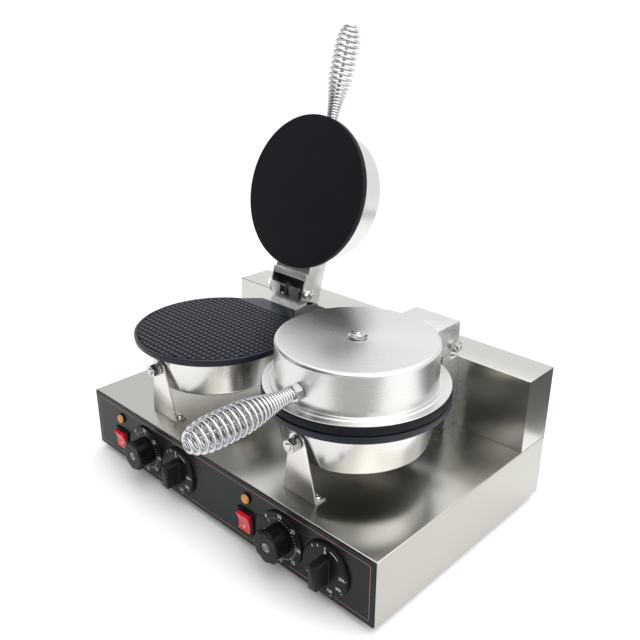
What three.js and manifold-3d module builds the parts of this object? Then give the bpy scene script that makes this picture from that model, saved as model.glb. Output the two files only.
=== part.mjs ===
// A double-head waffle cone maker for a counter: a folded sheet-steel base with a control panel, a raised
// housing along its back, and two baking irons. Each iron has a fixed lower plate on a tapered casing and
// a hinged lid with a coil-spring handle. The left lid is swung open and the right lid is closed.
// Millimetres. X runs to the right along the front, Y runs from the front to the back, Z is up.
import * as THREE from "three";
import { mergeVertices } from "three/addons/utils/BufferGeometryUtils.js";
import Module from "manifold-3d";

const wasm = await Module();
wasm.setup();

// ---- driving dimensions ----
const GAP = 0.3; // air between two pieces that touch
const SHEET = 1.2; // folded sheet steel

const FOOT = { radius: 12, height: 9, inset: 34, taper: 2 };
const BASE = { width: 500, depth: 320, height: 82 };
const REAR = { depth: 55, height: 94 };
const BASE_Z = FOOT.height;
const DECK_Z = BASE_Z + BASE.height;
const REAR_Y = BASE.depth - REAR.depth;
const REAR_Z = DECK_Z + REAR.height;

const IRON = { x: 122, y: 112, plateRadius: 105, plateThickness: 9, bossRadius: 7 };
const PLATE_TOP = DECK_Z + 98; // top of the lower baking plate
const LID_BOTTOM = PLATE_TOP + 2; // underside of the closed lid's plate
const BOWL = { bottomZ: DECK_Z + 39, bottomRadius: 83.5, topRadius: 92 };
const COVER = { radius: 90, flangeRadius: 104, height: 50, edge: 5 };
const FLANGE_Z = LID_BOTTOM + IRON.plateThickness + GAP;
const COVER_TOP = FLANGE_Z + COVER.height;
const LUG = { frontHalf: 58, backHalf: 33, backY: 224.5 };

const HINGE = { y: 248, z: DECK_Z + 115, pinRadius: 4, holeRadius: 4.4 };
const OPEN_ANGLE = 107; // degrees from closed to the stop
const ARM = { halfWidth: 32.5, wall: 2, top: HINGE.z + 27.5, bottom: HINGE.z - 8.5, backY: HINGE.y + 12.5 };
const ARM_LIP = { frontY: 222, backY: 231 };
const STAND = { halfWidth: 32, frontY: 225, postY: 243, backY: REAR_Y - GAP, plate: 1.6, sheet: 2.5 };
const STAND_DROP = { lip: 8, web: 30, post: 28 }; // how far each edge is below the stand's plate
const EARS = { halfWidth: 27.3, frontY: HINGE.y - 12, backY: HINGE.y + 5, height: 9 };
const NOTCH = { halfWidth: 9, bottom: HINGE.z - 8 };
const WIRE_HOLE = { halfWidth: 14, frontY: EARS.frontY + 5, backY: HINGE.y + 10 };

const BRACKET = { bottomHalf: 24.5, topHalf: 11, y: 23, lean: 3.2, sheet: 2, foot: 14.5 };
const BRACKET_BOLT_Z = DECK_Z + 69;
const BRACKET_SCREW = { x: 18, y: 31.8, radius: 2.2 };
// On the bracket and hinge bolts: a hexagon nut, a flat washer, and how far the thread and the head reach.
const NUT = { across: 13, height: 6.7, washerRadius: 8, washer: 1.8, thread: 2, head: 5.3 };
const BRACKET_BOLT = { seat: 5.4, springWasher: 2, thread: 4.6, overlap: 8 };
const LID_NUT = { across: 12, rim: 10, foot: 9, crown: 7, dome: 4.6, height: 6.8 };

const HANDLE = { z: DECK_Z + 128, rodRadius: 2.6, rodEnd: -104, nutAcross: 17, nutLength: 8.2 };
const GRIP = { start: 11, length: 129, turns: 17.5, wire: 1.8, slim: 6, full: 15.5 };
const SWELL = { end: 70, tip: 94 };
const HEATER = { ring: 62, tube: 3.6, rise: 4 };
const PAD = { clearance: 5, lidRadius: 76, lowerRadius: 72 };

const PANEL = { inset: 1.2, thickness: 1 };
const PANEL_FACE = -(GAP + PANEL.thickness);
// Controls of one iron: x is counted from the middle of their group, z from the lower edge of the base.
const CONTROLS_X = 125;
const LAMP = { x: -62.3, z: 62, radius: 6.8, stem: 4, proud: 4.5, length: 20 };
const SWITCH = { x: -64, z: 30.5, width: 27, height: 31.5, rim: 2.2, depth: 18, pocket: 7 };
const ROCKER = { halfWidth: 9.8, halfHeight: 11.5, back: 5.4, proud: 5.6, waist: 3.6, tilt: 9 };
const ROCKER_PIVOT_Y = PANEL_FACE - 0.5;
const TIMER = { x: -6.3, z: 39, dialRadius: 32.5, dialThickness: 2.5, halfBody: 21, depth: 32 };
const TIMER_KNOB = { capRadius: 19.3, capDepth: 6, bodyRadius: 17.6, flutes: 8, fluteDepth: 2.4, depth: 21 };
const THERMOSTAT = { x: 61, z: 38.7, radius: 17, bodyDepth: 22, blockHalf: 12, blockHeight: 14, depth: 34 };
const SKIRT = { radius: 31.5, thickness: 4, recess: 10 };
const GRIP_BAR = { length: 30, halfWidth: 6, depth: 18 };
const SPINDLE = { radius: 3, bore: 3.5, bush: 5, hole: 5.6, reach: 14 };

const GLAND = { x: 190, z: BASE_Z + 41, radius: 8, bore: 4.5, flange: 12, flangeDepth: 6, nose: 22 };
const WIRE_SLOT = { halfWidth: 24, front: REAR_Y + 10, back: BASE.depth - 10 };
const VENT = { count: 6, pitch: 22, halfWidth: 3, halfLength: 26, y: 160 };
const TERMINALS = { x: 96, y: 285, width: 72, depth: 20, height: 18, ways: 5, pitch: 12, slot: 9 };

// ---- solids: every helper returns a manifold-3d solid ----
function solid(geometry) {
  const bare = geometry.clone();
  bare.deleteAttribute("normal");
  bare.deleteAttribute("uv");
  const merged = mergeVertices(bare, 1e-4);
  return new wasm.Manifold(new wasm.Mesh({
    numProp: 3,
    vertProperties: merged.attributes.position.array,
    triVerts: new Uint32Array(merged.index.array),
  }));
}

// A box between two opposite corners.
function slab(low, high) {
  const size = high.map((value, axis) => value - low[axis]);
  const centre = high.map((value, axis) => (value + low[axis]) / 2);
  return solid(new THREE.BoxGeometry(...size).translate(...centre));
}

// A round bar along one axis, from one end to the other, through the point (u, v) of the other two axes.
// With six sides it is a hexagon whose flats are radius * sqrt(3) apart.
function bar(axis, radius, from, to, u, v, sides = 12) {
  const geometry = new THREE.CylinderGeometry(radius, radius, to - from, sides);
  const middle = (from + to) / 2;
  if (axis === "x") return solid(geometry.rotateZ(Math.PI / 2).translate(middle, u, v));
  if (axis === "y") return solid(geometry.translate(u, middle, v));
  return solid(geometry.rotateX(Math.PI / 2).translate(u, v, middle));
}

const hexRadius = (acrossFlats) => acrossFlats / Math.sqrt(3);

// A turned piece about a vertical axis: profile points are [radius, z], given anticlockwise.
function turned(profile, x, y, sides = 36) {
  const points = profile.map(([radius, z]) => new THREE.Vector2(radius, z));
  return solid(new THREE.LatheGeometry(points, sides).rotateX(Math.PI / 2).translate(x, y, 0));
}

// A turned piece about an axis along Y: profile points are [radius, y].
function turnedAlongY(profile, x, z, sides = 16) {
  const points = profile.map(([radius, y]) => new THREE.Vector2(radius, y));
  return solid(new THREE.LatheGeometry(points, sides).translate(x, 0, z));
}

// A flat outline of [y, z] points, pushed out along X.
function alongX(shape, from, to) {
  const geometry = new THREE.ExtrudeGeometry(shape, { depth: to - from, bevelEnabled: false });
  const turn = new THREE.Matrix4().makeBasis(
    new THREE.Vector3(0, 1, 0), new THREE.Vector3(0, 0, 1), new THREE.Vector3(1, 0, 0),
  );
  return solid(geometry.applyMatrix4(turn).translate(from, 0, 0));
}

// A flat outline of [x, z] points, pushed out along Y from its back face to its front face.
function alongY(shape, front, back) {
  const geometry = new THREE.ExtrudeGeometry(shape, { depth: back - front, bevelEnabled: false });
  return solid(geometry.rotateX(Math.PI / 2).translate(0, back, 0));
}

function outline(points) {
  return new THREE.Shape(points.map(([u, v]) => new THREE.Vector2(u, v)));
}

// Points of an arc about (u, v), angles in degrees.
function arc(u, v, radius, from, to, steps) {
  return Array.from({ length: steps + 1 }, (_, step) => {
    const angle = THREE.MathUtils.degToRad(from + ((to - from) * step) / steps);
    return [u + radius * Math.cos(angle), v + radius * Math.sin(angle)];
  });
}

// ---- materials ----
const finish = (color, roughness, metalness) => ({ color, roughness, metalness });
const FINISH = {
  stainless: finish(0xc9c8c4, 0.32, 1),
  galvanised: finish(0xaab2b5, 0.42, 1),
  chrome: finish(0xe4e6e8, 0.1, 1),
  zinc: finish(0xc6c8c6, 0.25, 1),
  coated: finish(0x17191d, 0.5, 0.1),
  panel: finish(0x1d2022, 0.4, 0),
  bakelite: finish(0x121314, 0.38, 0),
  red: finish(0xb81420, 0.3, 0),
  amber: finish(0xd98a1c, 0.2, 0),
  rubber: finish(0x101010, 0.8, 0),
  ceramic: finish(0xe8e2d4, 0.9, 0),
  phenolic: finish(0x2a211b, 0.5, 0),
  incoloy: finish(0x5a5650, 0.5, 1),
};

// A named mesh, drawn with flat facets.
function piece(name, shape, look) {
  const mesh = shape.getMesh();
  const geometry = new THREE.BufferGeometry();
  geometry.setAttribute("position", new THREE.BufferAttribute(mesh.vertProperties, 3));
  geometry.setIndex(new THREE.BufferAttribute(mesh.triVerts, 1));
  const material = new THREE.MeshStandardMaterial({ ...FINISH[look], flatShading: true });
  const made = new THREE.Mesh(geometry, material);
  made.name = name;
  return made;
}

// ---- the base and the rear housing ----
// The openings that the controls of both irons need in a front plate, from y = front to y = back.
function controlOpenings(front, back) {
  const tools = [];
  for (const x of [-CONTROLS_X, CONTROLS_X]) {
    const switchX = x + SWITCH.x;
    const switchZ = BASE_Z + SWITCH.z;
    const [across, up] = [SWITCH.width / 2 - SWITCH.rim, SWITCH.height / 2 - SWITCH.rim];
    const low = [switchX - across, front, switchZ - up];
    tools.push(slab(low, [switchX + across, back, switchZ + up]));
    tools.push(bar("y", LAMP.stem + GAP, front, back, x + LAMP.x, BASE_Z + LAMP.z));
    tools.push(bar("y", SPINDLE.hole, front, back, x + TIMER.x, BASE_Z + TIMER.z));
    tools.push(bar("y", SPINDLE.hole, front, back, x + THERMOSTAT.x, BASE_Z + THERMOSTAT.z));
  }
  return tools;
}

function baseHousing() {
  const half = BASE.width / 2;
  const shell = slab([-half, 0, BASE_Z], [half, BASE.depth, DECK_Z]);
  const hollow = slab([SHEET - half, SHEET, BASE_Z - 1], [half - SHEET, BASE.depth - SHEET, DECK_Z - SHEET]);
  const openings = controlOpenings(-1, 2 * SHEET);
  openings.push(bar("y", GLAND.radius + GAP, BASE.depth - 2 * SHEET, BASE.depth + 1, GLAND.x, GLAND.z));
  for (const x of [-IRON.x, IRON.x]) {
    const { halfWidth, front, back } = WIRE_SLOT;
    openings.push(slab([x - halfWidth, front, DECK_Z - 2 * SHEET], [x + halfWidth, back, DECK_Z + 1]));
  }
  return openings.reduce((body, tool) => body.subtract(tool), shell.subtract(hollow));
}

function bottomCover() {
  const edge = SHEET + GAP;
  const half = BASE.width / 2 - edge;
  let plate = slab([-half, edge, BASE_Z], [half, BASE.depth - edge, BASE_Z + SHEET]);
  for (const x of [-IRON.x, IRON.x]) {
    for (let slot = 0; slot < VENT.count; slot += 1) {
      const centre = x + (slot - (VENT.count - 1) / 2) * VENT.pitch;
      const low = [centre - VENT.halfWidth, VENT.y - VENT.halfLength, BASE_Z - 1];
      const high = [centre + VENT.halfWidth, VENT.y + VENT.halfLength, BASE_Z + 2 * SHEET];
      plate = plate.subtract(slab(low, high));
    }
  }
  return plate;
}

function controlPanel() {
  const half = BASE.width / 2 - PANEL.inset;
  const low = [-half, PANEL_FACE, BASE_Z + PANEL.inset];
  const plate = slab(low, [half, -GAP, DECK_Z - PANEL.inset]);
  return controlOpenings(PANEL_FACE - 1, 1).reduce((body, tool) => body.subtract(tool), plate);
}

function rearHousing() {
  const half = BASE.width / 2;
  const bottom = DECK_Z + GAP;
  const shell = slab([-half, REAR_Y, bottom], [half, BASE.depth, REAR_Z]);
  const low = [SHEET - half, REAR_Y + SHEET, bottom - 1];
  return shell.subtract(slab(low, [half - SHEET, BASE.depth - SHEET, REAR_Z - SHEET]));
}

function foot() {
  const { radius, height, taper } = FOOT;
  return turned([[0, 0], [radius - taper, 0], [radius, height - GAP], [0, height - GAP]], 0, 0, 20);
}

function cableGland() {
  const wall = BASE.depth;
  const { radius, bore, flange, flangeDepth, nose } = GLAND;
  const inside = wall - radius;
  const tip = wall + nose;
  return turnedAlongY([
    [bore, inside], [radius, inside], [radius, wall + GAP], [flange, wall + GAP],
    [flange, wall + flangeDepth], [radius + 1, wall + flangeDepth + 2], [bore + 2, tip], [bore, tip],
    [bore, inside],
  ], GLAND.x, GLAND.z);
}

function terminalBlock() {
  const bottom = BASE_Z + SHEET + GAP;
  const { x, y, width, depth, height, ways, pitch, slot } = TERMINALS;
  const margin = (width - (ways - 1) * pitch - slot) / 2;
  let block = slab([x, y, bottom], [x + width, y + depth, bottom + height]);
  for (let way = 0; way < ways; way += 1) {
    const from = x + margin + way * pitch;
    const low = [from, y - 1, bottom + height / 2];
    block = block.subtract(slab(low, [from + slot, y + depth / 2, bottom + height + 1]));
  }
  return block;
}

// ---- one iron: fixed pieces, in coordinates whose x = 0 is the iron's centre line ----
function lowerCasing() {
  const { bottomZ, bottomRadius, topRadius } = BOWL;
  const rim = PLATE_TOP - IRON.plateThickness - GAP;
  const hole = IRON.bossRadius - 2;
  const shell = turned([
    [hole, bottomZ], [bottomRadius - 3, bottomZ], [bottomRadius, bottomZ + 2], [topRadius, rim],
    [topRadius - SHEET, rim], [bottomRadius - SHEET, bottomZ + 2 * SHEET],
    [bottomRadius - 4, bottomZ + SHEET], [hole, bottomZ + SHEET], [hole, bottomZ],
  ], 0, IRON.y);
  return shell.subtract(bar("y", HINGE.pinRadius + 2 * GAP, 10, 40, 0, BRACKET_BOLT_Z));
}

function lowerPlate() {
  const under = PLATE_TOP - IRON.plateThickness;
  const bossBottom = BOWL.bottomZ + SHEET + GAP;
  const { plateRadius, bossRadius } = IRON;
  const disc = turned([
    [0, bossBottom], [bossRadius, bossBottom], [bossRadius, under], [plateRadius - 3, under],
    [plateRadius, under + 2], [plateRadius, PLATE_TOP - 1], [plateRadius - 1, PLATE_TOP], [0, PLATE_TOP],
  ], 0, IRON.y, 40);
  const frontY = IRON.y + 85;
  const shape = outline([
    [-LUG.frontHalf, frontY], [LUG.frontHalf, frontY], [LUG.backHalf, LUG.backY], [-LUG.backHalf, LUG.backY],
  ]);
  const lug = new THREE.ExtrudeGeometry(shape, { depth: IRON.plateThickness - 2, bevelEnabled: false });
  return disc.add(solid(lug.translate(0, 0, under + 2)));
}

// An open ring of sheathed heating element, at height z.
function heater(z) {
  const steps = 20;
  const ring = arc(0, IRON.y, HEATER.ring, 105, 435, steps).map(([x, y]) => new THREE.Vector3(x, y, z));
  const section = outline(arc(0, 0, HEATER.tube, 0, 300, 5));
  const path = new THREE.CatmullRomCurve3(ring);
  return solid(new THREE.ExtrudeGeometry(section, { steps, extrudePath: path, bevelEnabled: false }));
}

// A ceramic-fibre pad with a hole for the boss.
function insulation(bottom, top, radius) {
  const hole = IRON.bossRadius + 1;
  const profile = [[hole, bottom], [radius, bottom], [radius, top], [hole, top], [hole, bottom]];
  return turned(profile, 0, IRON.y, 24);
}

// The trapezoid bracket that holds the lower iron's front, with its foot on the deck.
function frontBracket() {
  const bottom = DECK_Z + GAP;
  const { bottomHalf, topHalf, sheet, y } = BRACKET;
  const head = arc(0, BRACKET_BOLT_Z, topHalf, 8, 172, 8);
  const shape = outline([[-bottomHalf, bottom], [bottomHalf, bottom], ...head]);
  const upright = alongY(shape, y, y + sheet);
  const hole = bar("y", HINGE.holeRadius, y - 5, y + 5, 0, BRACKET_BOLT_Z);
  const leaning = upright.subtract(hole)
    .translate([0, -y, -bottom])
    .rotate([BRACKET.lean, 0, 0])
    .translate([0, y, bottom]);
  let foot = slab([-bottomHalf, y, bottom], [bottomHalf, y + BRACKET.foot, bottom + sheet]);
  for (const x of [-BRACKET_SCREW.x, BRACKET_SCREW.x]) {
    foot = foot.subtract(bar("z", BRACKET_SCREW.radius, bottom - 1, bottom + 2 * sheet, x, BRACKET_SCREW.y));
  }
  return leaning.add(foot);
}

// A bolt along Y with its nut and washers in front of the bracket, as one piece.
function bracketBolt() {
  const { seat, springWasher, thread, overlap } = BRACKET_BOLT;
  const face = BRACKET.y - seat;
  const z = BRACKET_BOLT_Z;
  const springFace = face - NUT.washer;
  const nutFace = springFace - springWasher;
  const end = nutFace - NUT.height;
  return [
    bar("y", HINGE.pinRadius, end - thread, IRON.y - BOWL.bottomRadius + overlap, 0, z),
    bar("y", NUT.washerRadius + 0.5, springFace, face, 0, z),
    bar("y", NUT.washerRadius - 0.6, nutFace, springFace + 0.1, 0, z),
    bar("y", hexRadius(NUT.across), end, nutFace + 0.1, 0, z, 6),
  ].reduce((stack, next) => stack.add(next));
}

// The stand behind the lower iron: a post on the deck, a top plate on the rear housing and two pin ears.
function hingeBracket() {
  const { halfWidth, frontY, postY, backY, plate, sheet } = STAND;
  const bottom = DECK_Z + GAP;
  const plateBottom = REAR_Z + GAP;
  const plateTop = plateBottom + plate;
  const top = slab([-halfWidth, frontY, plateBottom], [halfWidth, backY, plateTop]);
  const lipBottom = plateTop - STAND_DROP.lip;
  const lip = slab([-halfWidth, frontY, lipBottom], [halfWidth, frontY + plate, plateTop]);
  const gusset = outline([
    [frontY, plateTop], [frontY, lipBottom], [postY, plateTop - STAND_DROP.web], [postY, bottom],
    [backY, bottom], [backY, plateTop],
  ]);
  const webs = [-halfWidth, halfWidth - sheet].map((x) => alongX(gusset, x, x + sheet));
  const front = slab([-halfWidth, postY, bottom], [halfWidth, postY + sheet, plateTop - STAND_DROP.post]);
  const earTop = HINGE.z + EARS.height;
  const ear = outline([
    [EARS.frontY, plateBottom], [EARS.backY, plateBottom],
    ...arc(HINGE.y, HINGE.z, EARS.height, -45, 90, 8), [EARS.frontY, earTop],
  ]);
  const ears = [-EARS.halfWidth, EARS.halfWidth - sheet].map((x) => alongX(ear, x, x + sheet));
  const faceBack = EARS.frontY + sheet;
  const face = slab([-EARS.halfWidth, EARS.frontY, plateBottom], [EARS.halfWidth, faceBack, earTop]);
  const notchLow = [-NOTCH.halfWidth, EARS.frontY - 1, NOTCH.bottom];
  const notch = slab(notchLow, [NOTCH.halfWidth, faceBack + 1, earTop + 1]);
  const joined = [lip, front, ...webs, ...ears, face.subtract(notch)];
  const whole = joined.reduce((body, next) => body.add(next), top);
  const holeLow = [-WIRE_HOLE.halfWidth, WIRE_HOLE.frontY, plateBottom - 1];
  const wireHole = slab(holeLow, [WIRE_HOLE.halfWidth, WIRE_HOLE.backY, plateTop + 1]);
  return whole
    .subtract(bar("x", HINGE.holeRadius, -halfWidth, halfWidth, HINGE.y, HINGE.z))
    .subtract(wireHole);
}

// The hinge pin: a bolt through the arm and the ears, its head on the left and its nut on the right.
function hingePin() {
  const face = ARM.halfWidth + GAP;
  const seat = face + NUT.washer;
  const { y, z } = HINGE;
  return [
    bar("x", HINGE.pinRadius, -face - 1, seat + NUT.height + NUT.thread, y, z),
    bar("x", NUT.washerRadius, -seat, -face, y, z),
    bar("x", hexRadius(NUT.across), -seat - NUT.head, 0.1 - seat, y, z, 6),
    bar("x", NUT.washerRadius, face, seat, y, z),
    bar("x", hexRadius(NUT.across), seat - 0.1, seat + NUT.height, y, z, 6),
  ].reduce((stack, next) => stack.add(next));
}

// ---- one iron: the lid, drawn closed ----
function lidPlate() {
  const top = LID_BOTTOM + IRON.plateThickness;
  const { plateRadius, bossRadius } = IRON;
  return turned([
    [0, LID_BOTTOM], [plateRadius - 1, LID_BOTTOM], [plateRadius, LID_BOTTOM + 1], [plateRadius, top - 2],
    [plateRadius - 3, top], [bossRadius, top], [bossRadius, COVER_TOP - SHEET - GAP],
    [0, COVER_TOP - SHEET - GAP],
  ], 0, IRON.y, 40);
}

function lidCover() {
  const { radius, flangeRadius, edge } = COVER;
  const inner = radius - SHEET;
  const hole = HINGE.pinRadius + 2 * GAP;
  const shell = turned([
    [hole, COVER_TOP - SHEET], ...arc(inner - edge, COVER_TOP - SHEET - edge, edge, 90, 0, 2),
    [inner, FLANGE_Z], [flangeRadius, FLANGE_Z], [flangeRadius, FLANGE_Z + SHEET],
    [radius, FLANGE_Z + SHEET], ...arc(radius - edge, COVER_TOP - edge, edge, 0, 90, 2),
    [hole, COVER_TOP], [hole, COVER_TOP - SHEET],
  ], 0, IRON.y);
  return shell.subtract(bar("y", HANDLE.rodRadius + 2 * GAP, 10, 40, 0, HANDLE.z));
}

// The folded arm that joins the cover to the hinge: open below and behind, with a lip in front of the gap.
function hingeArm() {
  const { halfWidth, wall, top, bottom, backY } = ARM;
  const rest = FLANGE_Z + SHEET + GAP;
  const start = IRON.y + 60;
  const tail = HINGE.z + 11; // lower edge of the arm's back
  const lipInside = ARM_LIP.frontY + wall;
  const outer = outline([
    [start, rest], [ARM_LIP.frontY, rest], [ARM_LIP.frontY, bottom], [backY - 3, bottom],
    [backY, bottom + 3], [backY, top], [start, top],
  ]);
  const inner = outline([
    [start - 1, rest + wall], [lipInside, rest + wall], [lipInside, bottom + wall],
    [ARM_LIP.backY, bottom + wall], [ARM_LIP.backY, bottom - 1], [backY + 1, bottom - 1],
    [backY + 1, tail], [backY - wall, tail], [backY - wall, top - wall], [start - 1, top - wall],
  ]);
  const seat = bar("z", COVER.radius + GAP, BASE_Z, 2 * COVER_TOP, 0, IRON.y, 72);
  return alongX(outer, -halfWidth, halfWidth)
    .subtract(alongX(inner, wall - halfWidth, halfWidth - wall))
    .subtract(seat)
    .subtract(bar("x", HINGE.holeRadius, -halfWidth - 1, halfWidth + 1, HINGE.y, HINGE.z));
}

function lidNut() {
  const z = COVER_TOP;
  const { across, rim, foot, crown, dome, height } = LID_NUT;
  return [
    bar("z", HINGE.pinRadius, z - SHEET, z + 1, 0, IRON.y),
    turned([[0, z + GAP], [foot, z + GAP], [rim, z + 1], [crown, z + 2], [0, z + 2]], 0, IRON.y, 16),
    bar("z", hexRadius(across), z + 1.5, z + 4.5, 0, IRON.y, 6),
    turned([[0, z + 4], [dome, z + 4], [dome - 1.2, z + 6], [0, z + height]], 0, IRON.y, 12),
  ].reduce((stack, next) => stack.add(next));
}

const WALL_Y = IRON.y - COVER.radius; // the cover's foremost point, where the handle is fixed

function handleRod() {
  return bar("y", HANDLE.rodRadius, HANDLE.rodEnd, WALL_Y + 9, 0, HANDLE.z, 12);
}

function handleNut() {
  const back = WALL_Y - GAP;
  const nut = bar("y", hexRadius(HANDLE.nutAcross), back - HANDLE.nutLength, back, 0, HANDLE.z, 6);
  return nut.subtract(bar("y", HANDLE.rodRadius + 2 * GAP, 0, 2 * WALL_Y, 0, HANDLE.z, 12));
}

// The grip's centre line: a coil that swells from a slim neck to a full belly and closes at its tip.
class GripCoil extends THREE.Curve {
  getPoint(t) {
    const along = t * GRIP.length;
    const swell = THREE.MathUtils.smoothstep(along, 0, SWELL.end);
    const tip = Math.max(0, along - SWELL.tip) / (GRIP.length - SWELL.tip);
    const radius = (GRIP.slim + (GRIP.full - GRIP.slim) * swell) * Math.sqrt(1 - 0.93 * tip ** 2.7);
    const angle = 2 * Math.PI * GRIP.turns * t;
    const [across, up] = [radius * Math.cos(angle), radius * Math.sin(angle)];
    return new THREE.Vector3(across, GRIP.start - along, HANDLE.z + up);
  }
}

function handleSpring() {
  const section = outline(arc(0, 0, GRIP.wire, 0, 270, 3));
  const steps = Math.round(GRIP.turns * 7);
  const settings = { steps, extrudePath: new GripCoil(), bevelEnabled: false };
  return solid(new THREE.ExtrudeGeometry(section, settings));
}

// ---- one iron: controls, in coordinates whose x = 0 is the middle of the group ----
function timerBody() {
  const x = TIMER.x;
  const z = BASE_Z + TIMER.z;
  const half = TIMER.halfBody;
  const back = SHEET + GAP;
  return slab([x - half, back, z - half], [x + half, back + TIMER.depth, z + half])
    .add(bar("y", SPINDLE.bush, PANEL_FACE - 1, back + 1, x, z))
    .subtract(bar("y", SPINDLE.bore, PANEL_FACE - 2, back + SPINDLE.reach + 2, x, z));
}

function thermostatBody() {
  const x = THERMOSTAT.x;
  const z = BASE_Z + THERMOSTAT.z;
  const { radius, bodyDepth, blockHalf, blockHeight, depth } = THERMOSTAT;
  const back = SHEET + GAP;
  const low = [x - blockHalf, back + bodyDepth - 2, z - blockHeight];
  return bar("y", radius, back, back + bodyDepth, x, z)
    .add(slab(low, [x + blockHalf, back + depth, z + blockHeight]))
    .add(bar("y", SPINDLE.bush, PANEL_FACE - 1, back + 1, x, z))
    .subtract(bar("y", SPINDLE.bore, PANEL_FACE - 2, back + SPINDLE.reach + 2, x, z));
}

function timerDial() {
  const back = PANEL_FACE - GAP;
  const front = back - TIMER.dialThickness;
  const { dialRadius } = TIMER;
  return turnedAlongY([
    [SPINDLE.hole, front], [dialRadius - 1, front], [dialRadius, front + 1], [dialRadius, back],
    [SPINDLE.hole, back], [SPINDLE.hole, front],
  ], TIMER.x, BASE_Z + TIMER.z, 20);
}

// A fluted knob with a round cap, on its spindle.
function timerKnob() {
  const x = TIMER.x;
  const z = BASE_Z + TIMER.z;
  const { capRadius, capDepth, bodyRadius, flutes, fluteDepth, depth } = TIMER_KNOB;
  const back = PANEL_FACE - 2 * GAP - TIMER.dialThickness;
  const front = back - depth;
  const steps = flutes * 4;
  const rim = Array.from({ length: steps }, (_, step) => {
    const angle = (2 * Math.PI * step) / steps;
    const radius = bodyRadius - fluteDepth * Math.sin((flutes * angle) / 2) ** 4;
    return [x + radius * Math.cos(angle), z + radius * Math.sin(angle)];
  });
  return alongY(outline(rim), front + capDepth - 1, back)
    .add(bar("y", capRadius, front, front + capDepth, x, z, 24))
    .add(bar("y", SPINDLE.radius, back - 1, SHEET + SPINDLE.reach, x, z));
}

// A skirted knob with a bar grip, on its spindle.
function thermostatKnob() {
  const x = THERMOSTAT.x;
  const z = BASE_Z + THERMOSTAT.z;
  const { radius, thickness, recess } = SKIRT;
  const { length, halfWidth, depth } = GRIP_BAR;
  const back = PANEL_FACE - GAP;
  const face = back - thickness;
  const skirt = turnedAlongY([
    [0, face], [radius - 2, face], [radius, face + 2], [radius, back], [recess, back],
    [recess, back - 1], [0, back - 1],
  ], x, z, 24);
  const reach = length / 2 - halfWidth;
  const grip = outline([
    ...arc(x, z + reach, halfWidth, 0, 180, 6), ...arc(x, z - reach, halfWidth, 180, 360, 6),
  ]);
  return skirt
    .add(alongY(grip, face - depth, face + 1))
    .add(bar("y", SPINDLE.radius, back - 2, SHEET + SPINDLE.reach, x, z));
}

// The switch's body: a bezel on the panel and an open-fronted shank that holds the rocker.
function switchBody() {
  const x = SWITCH.x;
  const z = BASE_Z + SWITCH.z;
  const half = [SWITCH.width / 2, SWITCH.height / 2];
  const shank = [half[0] - SWITCH.rim - GAP, half[1] - SWITCH.rim - GAP];
  const back = PANEL_FACE - GAP;
  const wall = 0.5;
  const low = [x - shank[0] + wall, back - 3, z - shank[1] + wall];
  return slab([x - half[0], back - 2, z - half[1]], [x + half[0], back, z + half[1]])
    .add(slab([x - shank[0], back - 1, z - shank[1]], [x + shank[0], SWITCH.depth, z + shank[1]]))
    .subtract(slab(low, [x + shank[0] - wall, SWITCH.pocket, z + shank[1] - wall]));
}

// The rocker lies with its upper half proud: an outline of [y, z] about its pivot, tilted.
function rocker() {
  const { halfWidth, halfHeight, back, proud, waist, tilt } = ROCKER;
  const shape = outline([
    [back, -halfHeight / 2], [back, halfHeight / 2], [0, halfHeight], [-proud, halfHeight], [-waist, 0],
    [-proud, -halfHeight], [0, -halfHeight],
  ]);
  return alongX(shape, -halfWidth, halfWidth)
    .rotate([tilt, 0, 0])
    .translate([SWITCH.x, ROCKER_PIVOT_Y, BASE_Z + SWITCH.z]);
}

function indicatorLamp() {
  const back = PANEL_FACE - GAP;
  const { radius, stem, proud, length } = LAMP;
  return turnedAlongY([
    [0, back - proud], [radius / 2, back - proud * 0.85],
    [radius - 0.8, back - proud / 2], [radius, back - 1],
    [radius, back], [stem, back], [stem, length], [0, length],
  ], LAMP.x, BASE_Z + LAMP.z, 20);
}

// ---- assembly ----
function lid(side, angle) {
  const frame = new THREE.Group();
  frame.position.set(0, HINGE.y, HINGE.z);
  frame.rotation.x = -THREE.MathUtils.degToRad(angle);
  const closed = new THREE.Group();
  closed.position.set(0, -HINGE.y, -HINGE.z);
  const heaterZ = FLANGE_Z + HEATER.rise;
  const pad = insulation(heaterZ + PAD.clearance, COVER_TOP - 2, PAD.lidRadius);
  closed.add(
    piece(`lid_plate_${side}`, lidPlate(), "coated"),
    piece(`lid_heater_${side}`, heater(heaterZ), "incoloy"),
    piece(`lid_insulation_${side}`, pad, "ceramic"),
    piece(`lid_cover_${side}`, lidCover(), "stainless"),
    piece(`lid_nut_${side}`, lidNut(), "zinc"),
    piece(`hinge_arm_${side}`, hingeArm(), "stainless"),
    piece(`handle_rod_${side}`, handleRod(), "zinc"),
    piece(`handle_nut_${side}`, handleNut(), "chrome"),
    piece(`handle_spring_${side}`, handleSpring(), "chrome"),
  );
  frame.add(closed);
  return frame;
}

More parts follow.
